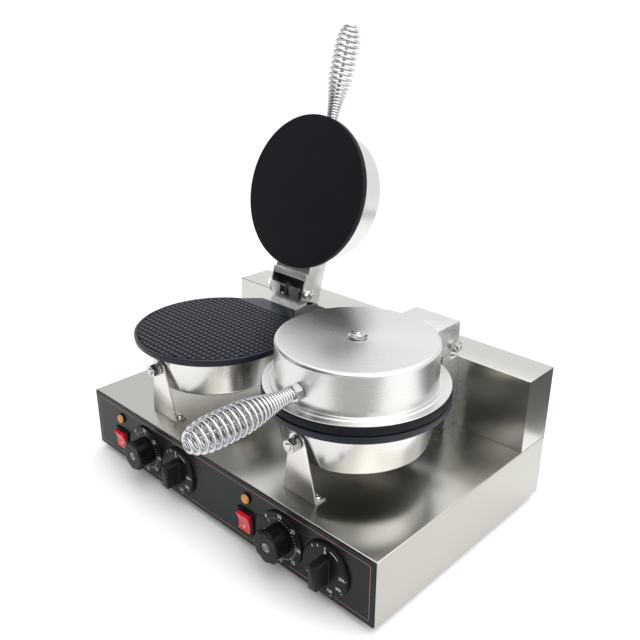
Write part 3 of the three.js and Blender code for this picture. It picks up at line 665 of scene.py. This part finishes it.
def control_panel():
    """The panel's CAD mesh with a thin border line printed on it."""
    bm = bmesh.new()
    bm.from_mesh(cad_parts["control_panel"].data)
    bmesh.ops.remove_doubles(bm, verts=bm.verts, dist=1e-6)
    bm.transform(Matrix.Scale(1 / MM, 4) @ Matrix.Translation((0, -FRONT_Y, 0)))
    x, y, z = middle("control_panel")
    bm.transform(Matrix.Rotation(math.radians(-90), 4, "X") @ Matrix.Translation((-x, -y, -z)))
    bmesh.ops.dissolve_limit(bm, angle_limit=math.radians(1), verts=bm.verts, edges=bm.edges)
    face = max(v.co.z for v in bm.verts)
    low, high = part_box("control_panel")
    width, height = (high.x - low.x) / MM, (high.z - low.z) / MM
    inset, line, corner = 5.4, 0.6, 2.5
    outer = rounded_box(width - 2 * inset, height - 2 * inset, corner, 6)
    inner = rounded_box(width - 2 * inset - 2 * line, height - 2 * inset - 2 * line, corner - line / 2, 6)
    outer = [bm.verts.new((u, v, face + 0.06)) for u, v in outer]
    inner = [bm.verts.new((u, v, face + 0.06)) for u, v in inner]
    printed_ring(bm, outer, inner)
    piece("control_panel_film", bm, [PANEL_FILM, ORANGE_PRINT], "base", (x, y, z), FORWARD,
          stands_for=("control_panel",))


control_panel()


def rubber_foot(name):
    x, y, _ = middle(name)
    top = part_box(name)[1].z / MM
    profile = fillet([(0, 0.8), (4, 0.8), (4, 3.2), (5.4, 3.2), (5.4, 0), (10, 0), (12, top), (0, top)], 0.7)
    bm = bmesh.new()
    turned(bm, profile, 48)
    piece(name + "_moulding", bm, [RUBBER], "base", (x, y, 0), stands_for=(name,))


for end in ("front", "rear"):
    for side, _ in SIDES:
        rubber_foot(f"foot_{end}_{side}")


def ridged(angle):
    """The radius of the gland's cap, which has 24 grip ridges."""
    return 9.6 + 0.5 * abs(math.sin(12 * angle))


def cable_gland():
    x, _, z = middle("cable_gland")
    bm = bmesh.new()
    profile = [(4.5, -8), (8, -8), (8, 0.4), (12, 0.4), (12, 1.4), (11.4, 2)]
    profile += [(ridged, 2.4), (ridged, 9), (8.6, 10), (8.2, 12), (7, 19), (6.6, 21.5), (5.6, 22)]
    profile += [(4.5, 21.6)]
    turned(bm, profile, 96, closed=True)
    nut(bm, 21, 0.5, 5.6, 7.5)
    piece("cable_gland_moulding", bm, [BLACK_PLASTIC], "base", (x, BACK_Y, z), (0, 1, 0),
          stands_for=("cable_gland",))


cable_gland()

# ---- the controls ----
PROUD = -PANEL_FACE  # height of the panel's face over the base's front plate
SEAT = PROUD + 0.3  # height of a control's back: it clears the panel by 0.3
SPINDLE = [(0, -15), (3, -15)]  # profile of the inner end of a knob's spindle
DIAL = {"radius": 32.5, "thickness": 2.5, "dots": 24.2, "numbers": 28.6}
ZERO_ANGLE = -48  # where the timer's scale ends, in degrees clockwise from the top


def ribbed(radius):
    """A radius that dips between 28 fine ribs."""
    return lambda angle: radius * (1 - 0.035 * math.cos(14 * angle) ** 2)


def lamp(side):
    x, _, z = middle(f"indicator_lamp_{side}")
    bm = bmesh.new()
    collar = [(6, SEAT), (7, SEAT), (7, SEAT + 1.2), (6.6, SEAT + 1.7), (6, SEAT + 1.5)]
    turned(bm, fillet(collar, 0.25, True), 48, material=1, closed=True)
    lens = [(0, -20), (4, -20), (4, SEAT), (5.9, SEAT + 0.1), (ribbed(5.9), SEAT + 2.4)]
    lens += [(ribbed(5.6), SEAT + 3.3), (ribbed(4.7), SEAT + 4.0), (3.2, SEAT + 4.3)]
    lens += [(1.6, SEAT + 4.45), (0, SEAT + 4.5)]
    turned(bm, lens, 56)
    piece(f"lamp_{side}", bm, [AMBER, BLACK_PLASTIC], "base", (x, 0, z), FORWARD,
          stands_for=(f"indicator_lamp_{side}",), sharp=50)


def switch(side):
    """The switch's body and bezel in one: out along the shank, over the bezel and into its mouth."""
    x, _, z = middle(f"switch_body_{side}")
    levels = (  # width, height, corner radius and depth or height
        (22, 26.5, 0.8, -18), (22, 26.5, 0.8, SEAT), (27, 31.5, 2.2, SEAT), (27, 31.5, 2.2, SEAT + 1.1),
        (26.5, 31, 2, SEAT + 1.7), (25.6, 30.1, 1.7, SEAT + 2), (22.6, 27, 1.2, SEAT + 2),
        (21.4, 25.8, 0.9, SEAT + 1.4), (21, 25.5, 0.8, SEAT + 0.8), (21, 25.5, 0.8, -7),
    )
    bm = bmesh.new()
    loft(bm, [level_ring(*level) for level in levels])
    piece(f"switch_bezel_{side}", bm, [BLACK_PLASTIC], "base", (x, 0, z), FORWARD,
          stands_for=(f"switch_body_{side}",))


def hollow(share):
    """How far the rocker's face stands from its pivot: most at its ends, where share is 1 or -1."""
    return 3.6 + 2 * abs(share) ** 1.7


def rocker(side):
    """The rocker is shaped level, with a ring printed on its lower half, and then tipped."""
    x, _, z = middle(f"switch_body_{side}")
    half, reach, back = 9.8, 11.5, 5.4
    steps, ring_sides, ring_at, ring_slope = 12, 12, -5.6, 0.24
    curve = [(reach * (1 - 2 * k / steps), hollow(1 - 2 * k / steps)) for k in range(steps + 1)]
    section = [(reach, 0)] + curve + [(-reach, 0), (-reach / 2, -back), (reach / 2, -back)]
    bm = bmesh.new()
    loft(bm, [[(u, v, w) for v, w in section] for u in (-half, half)])
    ring_z = hollow(ring_at / reach) + 0.16
    rings = []
    for radius in (2.1, 1.5):
        points = [clock(radius, 360 * k / ring_sides) for k in range(ring_sides)]
        rings.append([bm.verts.new((u, v + ring_at, ring_z - v * ring_slope)) for u, v in points])
    printed_ring(bm, *rings)
    bm.transform(Matrix.Rotation(math.radians(9), 4, "X"))
    piece(f"rocker_{side}", bm, [RED, WHITE_PRINT], f"switch_rocker_{side}",
          (x, PIVOT_Y, z), FORWARD, bevel=0.5, stands_for=(f"switch_rocker_{side}",), sharp=40)


def timer_dial(side):
    x, _, z = middle(f"timer_dial_{side}")
    radius, bore = DIAL["radius"], 5.6
    face = SEAT + DIAL["thickness"]
    bm = bmesh.new()
    profile = [(bore, SEAT), (radius, SEAT), (radius, face - 0.5), (radius - 0.9, face), (bore, face)]
    turned(bm, fillet(profile, [0, 0, 0.5, 0.6, 0], True, 3), 96, closed=True)
    print_z = face + PRINT_LIFT
    for minute in range(31):
        size = 0.75 if minute % 5 == 0 else 0.55
        printed_dot(bm, clock(DIAL["dots"], 9 * minute), size, print_z)
    for k in range(1, 5):
        printed_dot(bm, clock(DIAL["dots"], ZERO_ANGLE * (1 - k / 5)), 0.45, print_z)
    mark(bm, clock(21.5, ZERO_ANGLE), clock(25.4, ZERO_ANGLE), 0.7, print_z)
    lettering(bm, "0", 6.4, clock(DIAL["numbers"], ZERO_ANGLE), print_z)
    for number in range(30, 0, -5):
        lettering(bm, str(number), 6.4, clock(DIAL["numbers"], 9 * (30 - number)), print_z)
    piece(f"timer_dial_disc_{side}", bm, [BAKELITE, WHITE_PRINT], "base",
          (x, 0, z), FORWARD, stands_for=(f"timer_dial_{side}",))


def lobed(most, cut):
    """A radius that is most at eight lobes and dips by up to cut between them."""
    return lambda angle: most - cut * abs(math.sin(4 * angle + 0.35)) ** 3


def timer_knob(side):
    """A lobed knob with a round cap, a raised tab at its rim and a ring with a bar in its middle."""
    x, _, z = middle(f"timer_dial_{side}")
    back = SEAT + DIAL["thickness"] + 0.3
    front = back + 21
    sunk = front - 0.7  # the face of the round recess in the cap
    bm = bmesh.new()
    profile = SPINDLE + [(3, back), (lobed(17.2, 1.6), back), (lobed(17.6, 2.2), back + 0.8)]
    profile += [(lobed(17.6, 2.6), front - 7.5), (lobed(17.9, 2.0), front - 6.4)]
    profile += [(lobed(19, 1.6), front - 6), (lobed(19.6, 1.5), front - 5), (lobed(19.6, 1.5), front - 1.6)]
    profile += [(lobed(19, 1.3), front - 0.6), (lobed(17.8, 0.9), front - 0.1)]
    profile += [(16, front), (6.2, front - 0.1), (5.7, sunk), (0, sunk)]
    turned(bm, profile, 144)
    tab = fillet([(-6.2, 10.5), (6.2, 10.5), (5.2, 18.2), (2.6, 21), (-2.6, 21), (-5.2, 18.2)], 0.8, True)
    tilt = Matrix.Rotation(math.radians(-42), 4, "Z")
    start = len(bm.verts)
    prism(bm, tab, back + 6, front + 0.9)
    bm.verts.ensure_lookup_table()
    bmesh.ops.transform(bm, matrix=tilt, verts=bm.verts[start:])
    printed_arc(bm, 4.6, 0, 360, 0.7, sunk + 0.08)
    mark(bm, clock(3.4, -35), clock(3.4, 145), 1.0, sunk + 0.08)
    piece(f"timer_knob_moulding_{side}", bm, [BAKELITE, WHITE_PRINT], f"timer_knob_{side}",
          (x, 0, z), FORWARD, stands_for=(f"timer_knob_{side}",), sharp=38)


def thermostat_knob(side):
    """A skirt with the scale printed on it and a bar grip."""
    x, _, z = middle(f"thermostat_knob_{side}")
    face = SEAT + 4
    front = face + 18
    bm = bmesh.new()
    profile = SPINDLE + [(3, SEAT + 1), (10, SEAT + 1), (10, SEAT), (31.5, SEAT)]
    profile += [(31.5, face - 1.9), (31.1, face - 0.8), (30, face - 0.1), (28.5, face), (9, face)]
    profile += [(0, face + 0.3)]
    turned(bm, profile, 96)
    levels = (  # width, height, corner radius and height of the grip
        (14.6, 32.6, 2.6, face - 0.2), (13.2, 31.2, 2.4, face + 0.7), (12.5, 30.5, 2.2, face + 2),
        (12, 30, 2, front - 1.4), (11.3, 29.3, 1.7, front - 0.4), (10, 28, 1.2, front),
    )
    loft(bm, [level_ring(*level) for level in levels])
    print_z = face + PRINT_LIFT
    lettering(bm, "0", 5.6, clock(22.5, 2), print_z)
    mark(bm, clock(25.6, 2), clock(29.6, 2), 0.7, print_z)
    printed_arc(bm, 28.6, 16, 40, 0.7, print_z)
    for degrees in (-20, -38):
        mark(bm, clock(26.2, degrees), clock(29.2, degrees), 0.8, print_z)
    first, step = 86, 38
    for k, number in enumerate(range(250, 0, -50)):
        degrees = first + step * k
        lean = math.radians(90 - degrees) if k == 0 else 0
        lettering(bm, str(number), 5.0, clock(23.6, degrees), print_z, lean)
        mark(bm, clock(28, degrees), clock(30, degrees), 0.6, print_z)
    piece(f"thermostat_knob_moulding_{side}", bm, [BAKELITE, WHITE_PRINT], f"thermostat_knob_{side}",
          (x, 0, z), FORWARD, stands_for=(f"thermostat_knob_{side}",), sharp=38)


for side, _ in SIDES:
    lamp(side)
    switch(side)
    rocker(side)
    timer_dial(side)
    timer_knob(side)
    thermostat_knob(side)


# ---- the lower irons ----
def lower_casing(side, x):
    low, rim = BOWL["bottom"], BOWL["rim"]
    foot, top = BOWL["low_radius"], BOWL["rim_radius"]
    outside = [(5, low), (foot - 0.5, low), (top, rim - 1.2), (top + 0.5, rim - 0.4), (top + 0.2, rim)]
    inside = [(top - SHEET, rim), (foot - SHEET - 0.5, low + SHEET), (5, low + SHEET)]
    sizes = [0, 4.5, 0.6, 0.3, 0.3, 0.3, 3.5, 0]
    bm = bmesh.new()
    turned(bm, fillet(outside + inside, sizes, True, 5), 144, closed=True)
    piece(f"lower_casing_shell_{side}", bm, [SPUN], "base", (x, IRON_Y, 0),
          stands_for=(f"lower_casing_{side}",))


def trimmed(x, y, limit):
    """A point, pulled in to a circle's edge if it lies outside."""
    share = min(1, limit / max(math.hypot(x, y), 1e-6))
    return x * share, y * share


def waffle(bm, top, floor):
    """Rows of small square pads with grooves between them, out to the edge of the baking face."""
    pitch, crown, foot = WAFFLE["pitch"], WAFFLE["top"] / 2, WAFFLE["foot"] / 2
    count = int(PLATE["waffle"] / pitch)
    for i in range(-count, count + 1):
        for j in range(-count, count + 1):
            u, v = i * pitch, j * pitch
            corners = ((-1, -1), (1, -1), (1, 1), (-1, 1))
            low = [trimmed(u + a * foot, v + b * foot, PLATE["waffle"]) for a, b in corners]
            high = [trimmed(u + a * crown, v + b * crown, PLATE["waffle"] - 0.8) for a, b in corners]
            sides = [(Vector(high[k]) - Vector(high[k - 1])).length for k in range(4)]
            if min(sides) < 0.9:
                continue
            low = [bm.verts.new((*point, floor - 0.05)) for point in low]
            high = [bm.verts.new((*point, top)) for point in high]
            bm.faces.new(high)
            for k in range(4):
                bm.faces.new((low[k], low[(k + 1) % 4], high[(k + 1) % 4], high[k]))


def lower_plate(side, x):
    """The plate with the stud under its middle, the lug at its back and the pads of its baking face."""
    radius, low, top = PLATE["radius"], PLATE["bottom"], PLATE["top"]
    floor = top - PLATE["recess"]
    stud_end = BOWL["bottom"] + 1.5
    edge = [(7, stud_end), (7, low), (radius - 2, low), (radius, low + 2), (radius, top)]
    edge += [(PLATE["waffle"] + 1.6, top), (PLATE["waffle"] + 0.6, floor), (0, floor)]
    sizes = [0, 0.5, 0.9, 0.9, 1.3, 0.5, 0.5, 0]
    bm = bmesh.new()
    turned(bm, [(0, stud_end)] + fillet(edge, sizes, False, 4), 144)
    outline = fillet(LUG, [0, 0, 2.5, 2.5], True)
    levels = ((0.98, low + 2), (1, low + 2.8), (1, top - 0.9), (0.985, top - 0.06))
    hidden = 100  # the lug's front end lies inside the plate, so only what is behind this y is scaled
    loft(bm, [[(u * share, v if v < hidden else v * share, z) for u, v in outline] for share, z in levels])
    waffle(bm, top - 0.05, floor)
    piece(f"lower_baking_plate_{side}", bm, [COATED], "base", (x, IRON_Y, 0),
          stands_for=(f"lower_plate_{side}",))


def bolt_stack(side, x):
    """A flat washer, a spring washer and a nut on the bolt's thread. Local z points to the front."""
    bm = bmesh.new()
    washer(bm, 4.2, 8.5, 0, 1.7, 0.4)
    washer(bm, 4.3, 7.4, 1.9, 3.7, 0.3)
    nut(bm, 14.6, 3.8, 10.8, THREAD_BORE)
    thread(bm, BOLT_RADIUS, -18, 13, BOLT_PITCH)
    piece(f"bracket_bolt_stack_{side}", bm, [ZINC], "base",
          (x, BRACKET_FACE, BOLT_Z), FORWARD, stands_for=(f"bracket_bolt_{side}",))


def recess_radius(radius):
    """The outline of a cross-shaped recess, as a radius at an angle."""
    return lambda angle: radius * (0.55 + 0.45 * abs(math.cos(2 * angle)) ** 3)


def dome_screw(name, at):
    """A washer under a domed head with a cross recess."""
    radius, rim = 4.2, 5.3
    bm = bmesh.new()
    turned(bm, fillet([(0, 0), (rim, 0), (rim, 0.8), (0, 0.8)], [0, 0.1, 0.2, 0], False, 2), 32)
    dome = [(radius, 0.8), (radius, 1.3), (radius * 0.9, 2.2), (radius * 0.68, 2.9), (radius * 0.5, 3.15)]
    recess = [(recess_radius(radius * 0.46), 3.2), (recess_radius(radius * 0.34), 2.4), (0, 2.2)]
    turned(bm, dome + recess, 48, caps=(False, True))
    piece(name, bm, [ZINC], "base", at, sharp=60)


def hinge_pin(side, x):
    """A bolt through both ears of the stand, with washers. Its head is on the left, its nut on the right."""
    ear, seat, across = 32.8, 34.5, 13
    shank, shank_end = 3.95, 33
    bm = bmesh.new()
    washer(bm, BOLT_RADIUS, 8, ear, seat, 0.35)
    nut(bm, across, seat, 39.8, 0, both=False)
    turned(bm, [(0, 39.9), (4.6, 39.85), (5.4, 39.7)], 32, caps=(False, False))
    washer(bm, BOLT_RADIUS, 8, -seat, -ear, 0.35)
    nut(bm, across, -41.2, -34.6, THREAD_BORE)
    turned(bm, [(0, -shank_end), (shank, -shank_end), (shank, shank_end), (0, shank_end)], 32)
    thread(bm, BOLT_RADIUS, -43.2, -shank_end, BOLT_PITCH)
    piece(f"hinge_bolt_{side}", bm, [ZINC], "base", (x, *HINGE), (-1, 0, 0),
          stands_for=(f"hinge_pin_{side}",))


def lid_lead(side, x):
    """The sheathed lead that comes up between the pin ears and goes into the hinge arm."""
    path = [(0, 249, 183), (0, 246.5, 188), (0, 242.6, 192.5), (0, 239.6, 197), (0, 238.6, 202)]
    path += [(0, 239.4, 207), (0, 241.4, 211), (0, 244, 214)]
    bm = bmesh.new()
    sweep(bm, spline(path, 4), lambda t: 2.9 + 0.12 * math.sin(t * 90), 16)
    piece(f"lid_lead_{side}", bm, [RUBBER], "base", (x, 0, 0), sharp=60)


for side, sign in SIDES:
    x = sign * IRON_X
    lower_casing(side, x)
    lower_plate(side, x)
    folded(f"front_bracket_{side}", [BRACKET_STEEL], "base", 0.45, least=7)
    bolt_stack(side, x)
    for number, offset in enumerate((-SCREW[0], SCREW[0])):
        dome_screw(f"bracket_screw_{side}_{number + 1}", (x + offset, SCREW[1], DECK_Z + 2.3))
    stand = folded(f"hinge_bracket_{side}", [GALVANISED], "base", 0.5, least=4)
    shade_flat(stand, 25)
    hinge_pin(side, x)
    lid_lead(side, x)


# ---- the lids ----
def lid_plate(side, x):
    radius, low, top = PLATE["radius"], LID["bottom"], LID["top"]
    profile = [(0, low), (radius, low), (radius, top), (radius - 3, top), (7, top), (7, 248.8), (0, 248.8)]
    bm = bmesh.new()
    turned(bm, fillet(profile, [0, 0.7, 1.4, 0.2, 0.5, 0.3, 0], False, 4), 144)
    piece(f"lid_baking_plate_{side}", bm, [LID_COATED], f"lid_{side}", (x, IRON_Y, 0),
          turn=lid_turn(side), stands_for=(f"lid_plate_{side}",))


def lid_cover(side, x):
    low, top = LID["flange"], LID["cover_top"]
    wall, rim = LID["cover"], LID["flange_radius"]
    outside = [(4.6, top), (wall, top), (wall, low + SHEET + 1.0), (wall + 5, low + SHEET + 1.0),
               (wall + 6.2, low + SHEET), (rim, low + SHEET), (rim, low)]
    inside = [(wall + 5, low), (wall - SHEET, low + 0.6), (wall - SHEET, top - SHEET), (4.6, top - SHEET)]
    sizes = [0, 4.6, 1.2, 0.5, 0.6, 0.5, 0.4, 0.3, 0.5, 3.4, 0]
    bm = bmesh.new()
    turned(bm, fillet(outside + inside, sizes, True, 6), 160, closed=True)
    piece(f"lid_cover_shell_{side}", bm, [SPUN_LID], f"lid_{side}", (x, IRON_Y, 0),
          turn=lid_turn(side), stands_for=(f"lid_cover_{side}",))


def lid_nut(side, x):
    """A dished washer and a nut on the stud that holds the cover to the plate."""
    z = LID["cover_top"]
    bm = bmesh.new()
    cup = [(4.2, z + 0.3), (9.8, z + 0.3), (10.9, z + 1.4), (10.5, z + 1.9), (8.6, z + 1.1), (4.2, z + 0.9)]
    turned(bm, fillet(cup, 0.3, True, 3), 64, closed=True)
    nut(bm, 14.5, z + 0.9, z + 4.4, THREAD_BORE)
    stud = [(0, z - 1.1), (THREAD_BORE, z - 1.1), (THREAD_BORE, z + 4.6), (3.3, z + 5.2), (1.8, z + 5.5)]
    turned(bm, stud + [(0, z + 5.6)], 32)
    piece(f"lid_cap_nut_{side}", bm, [ZINC], f"lid_{side}", (x, IRON_Y, 0),
          turn=lid_turn(side), stands_for=(f"lid_nut_{side}",), sharp=40)


def grip_radius(along):
    """The grip swells from its neck to its belly and closes in to a round tip."""
    swell = smoothstep(along, 0, 70)
    tip_start = 94
    tip = max(0, along - tip_start) / (GRIP["length"] - tip_start)
    return (GRIP["slim"] + (GRIP["full"] - GRIP["slim"]) * swell) * math.sqrt(1 - 0.95 * tip ** 2.6)


def grip_pitch(along):
    """The turns lie close at the neck, open over the belly and close up at the tip."""
    return 3.6 + 3.75 * smoothstep(along, 14, 72) - 1.9 * smoothstep(along, 108, 126)


def coil_path():
    """The middle line of the grip's wire, in 40 steps a turn."""
    path = []
    angle = along = 0.0
    step = math.tau / 40
    while along < GRIP["length"]:
        reach = grip_radius(along)
        path.append((reach * math.cos(angle), reach * math.sin(angle), along))
        along += grip_pitch(along) * step / math.tau
        angle += step
    return path


def handle(side, x):
    """The coiled grip, the nut at its neck and the threaded rod inside it. Local z points to the front."""
    body, turn = f"lid_{side}", lid_turn(side)
    bm = bmesh.new()
    sweep(bm, coil_path(), lambda t: GRIP["wire"] * min(1, 0.6 + 40 * min(t, 1 - t)), 12)
    piece(f"coil_grip_{side}", bm, [CHROME], body, (x, GRIP["start"], HANDLE_Z),
          FORWARD, turn, stands_for=(f"handle_spring_{side}",), sharp=80)
    bm = bmesh.new()
    nut(bm, 17.6, 0, 9.6, 3.2)
    piece(f"handle_lock_nut_{side}", bm, [CHROME], body, (x, HANDLE_NUT_Y, HANDLE_Z),
          FORWARD, turn, stands_for=(f"handle_nut_{side}",))
    bm = bmesh.new()
    thread(bm, ROD["radius"], 0, ROD["length"], ROD["pitch"])
    piece(f"handle_threaded_rod_{side}", bm, [ZINC], body, (x, ROD["start"], HANDLE_Z),
          FORWARD, turn, stands_for=(f"handle_rod_{side}",), sharp=60)


for side, sign in SIDES:
    x = sign * IRON_X
    lid_plate(side, x)
    lid_cover(side, x)
    lid_nut(side, x)
    handle(side, x)
    folded(f"hinge_arm_{side}", [ARM_STEEL], f"lid_{side}", 0.7, least=5,
           turn=lid_turn(side))

# ---- hidden CAD pieces keep their shape and get a finished material ----
KEPT = {"bottom_cover": GALVANISED, "terminal_block": CERAMIC}
for side, _ in SIDES:
    KEPT[f"timer_{side}"] = PHENOLIC
    KEPT[f"thermostat_{side}"] = PHENOLIC
    for part in ("lid", "lower"):
        KEPT[f"{part}_heater_{side}"] = SHEATH
        KEPT[f"{part}_insulation_{side}"] = FIBRE
for node, look in KEPT.items():
    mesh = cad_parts[node].data
    mesh.materials.clear()
    mesh.materials.append(look)
